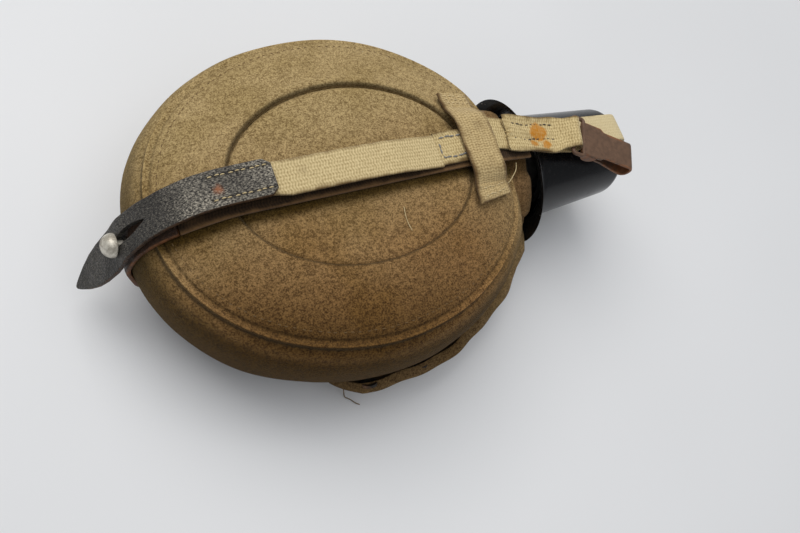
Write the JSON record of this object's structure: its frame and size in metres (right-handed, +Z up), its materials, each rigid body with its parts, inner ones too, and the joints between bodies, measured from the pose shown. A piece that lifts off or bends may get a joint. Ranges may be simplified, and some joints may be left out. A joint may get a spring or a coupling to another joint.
{
  "type": "field canteen",
  "caption": "Felt-covered oval flask with a screw cap under a black flared cup, in a webbing and leather harness with a belt loop and a snap hook.",
  "frame": {"origin": "middle of the underside of the whole part's box", "axes": "+Z up from the outer face to the worn face, +X along the neck towards the cup's base"},
  "size_m": [0.2942, 0.1802, 0.0966],
  "materials": {
    "felt": "wool felt, worn",
    "felt_dark": "wool felt, shaded folds",
    "web": "ribbed cotton webbing",
    "web_worn": "ribbed cotton webbing, stained",
    "leather": "black, cracked grain",
    "flask_metal": "dull",
    "seal_rubber": "matt",
    "cap_plastic": "moulded black",
    "cup_lacquer": "gloss black lacquer",
    "stud_metal": "dull, scratched",
    "brown_steel": "brown paint, worn",
    "dark_steel": "dark, dull"
  },
  "bodies": {
    "bottle": {"cover_front_centre": "felt", "cover_front_ring": "felt", "cover_side_wall": "felt", "cover_back": "felt", "cover_collar": "felt_dark", "flask_shell": "flask_metal", "strap_front": "web_worn", "strap_bottom": "leather", "strap_back": "web", "buckle_frame": "dark_steel", "cup_strap": "web", "hook_strap": "web", "keeper_loop": "web", "stud_washer": "dark_steel", "belt_stud": "stud_metal", "snap_stud_1": "dark_steel", "snap_stud_2": "dark_steel", "snap_stud_3": "dark_steel", "snap_stud_4": "dark_steel"},
    "cup": {"cup": "cup_lacquer"},
    "seal": {"cap_seal": "seal_rubber"},
    "cap": {"screw_cap": "cap_plastic"},
    "belt_loop": {"belt_loop_web": "web", "belt_loop_tab": "leather"},
    "hook": {"hook_body": "brown_steel", "hook_pin": "dark_steel", "hook_spring": "dark_steel"},
    "gate": {"hook_gate": "brown_steel"},
    "prong": {"buckle_prong": "dark_steel"},
    "flap": {"cover_flap": "felt", "snap_socket_1": "dark_steel", "snap_socket_2": "dark_steel", "snap_socket_3": "dark_steel", "snap_socket_4": "dark_steel"}
  },
  "joints": [
    {"name": "cup_slide", "type": "slide", "parent": "bottle", "child": "cup", "axis": [1, 0, 0], "range_m": [0, 0.06], "deforming": ["cup_strap"]},
    {"name": "hook_swing", "type": "hinge", "parent": "bottle", "child": "hook", "pos_m": [0.09823, 0.00027, 0.0852], "axis": [-0.4384, -0.8988, 0], "range_deg": [0, 120]},
    {"name": "hook_gate", "type": "hinge", "parent": "hook", "child": "gate", "pos_m": [0.10771, -0.00435, 0.0805], "axis": [-0.4384, -0.8988, 0], "range_deg": [0, 22], "stiffness_Nm_per_rad": 0.02, "springref_deg": -5.73, "deforming": ["hook_spring"]},
    {"name": "cap_lift", "type": "slide", "parent": "bottle", "child": "seal", "axis": [1, 0, 0], "range_m": [0, 0.008]},
    {"name": "cap_turn", "type": "hinge", "parent": "seal", "child": "cap", "pos_m": [0.104, 0.00512, 0.041], "axis": [1, 0, 0], "range_deg": [0, 720]},
    {"name": "belt_loop_open", "type": "hinge", "parent": "bottle", "child": "belt_loop", "pos_m": [0.01823, 0.00512, 0.0894], "axis": [0, 1, 0], "range_deg": [0, 80], "deforming": ["belt_loop_tab"]},
    {"name": "prong_open", "type": "hinge", "parent": "bottle", "child": "prong", "pos_m": [0.05613, 0.00312, 0.0052], "axis": [0, 1, 0], "range_deg": [0, 35]},
    {"name": "flap_open", "type": "hinge", "parent": "bottle", "child": "flap", "pos_m": [-0.00023, -0.04858, 0.012], "axis": [0.9473, 0.3204, 0], "range_deg": [0, 40], "stiffness_Nm_per_rad": 0.02, "deforming": ["cover_flap"]}
  ],
  "couplings": [
    {"joint": "hook_swing", "follows": "cup_slide", "rad_per_m": 34.9},
    {"joint": "cap_turn", "follows": "cap_lift", "rad_per_m": 1570.8}
  ]
}
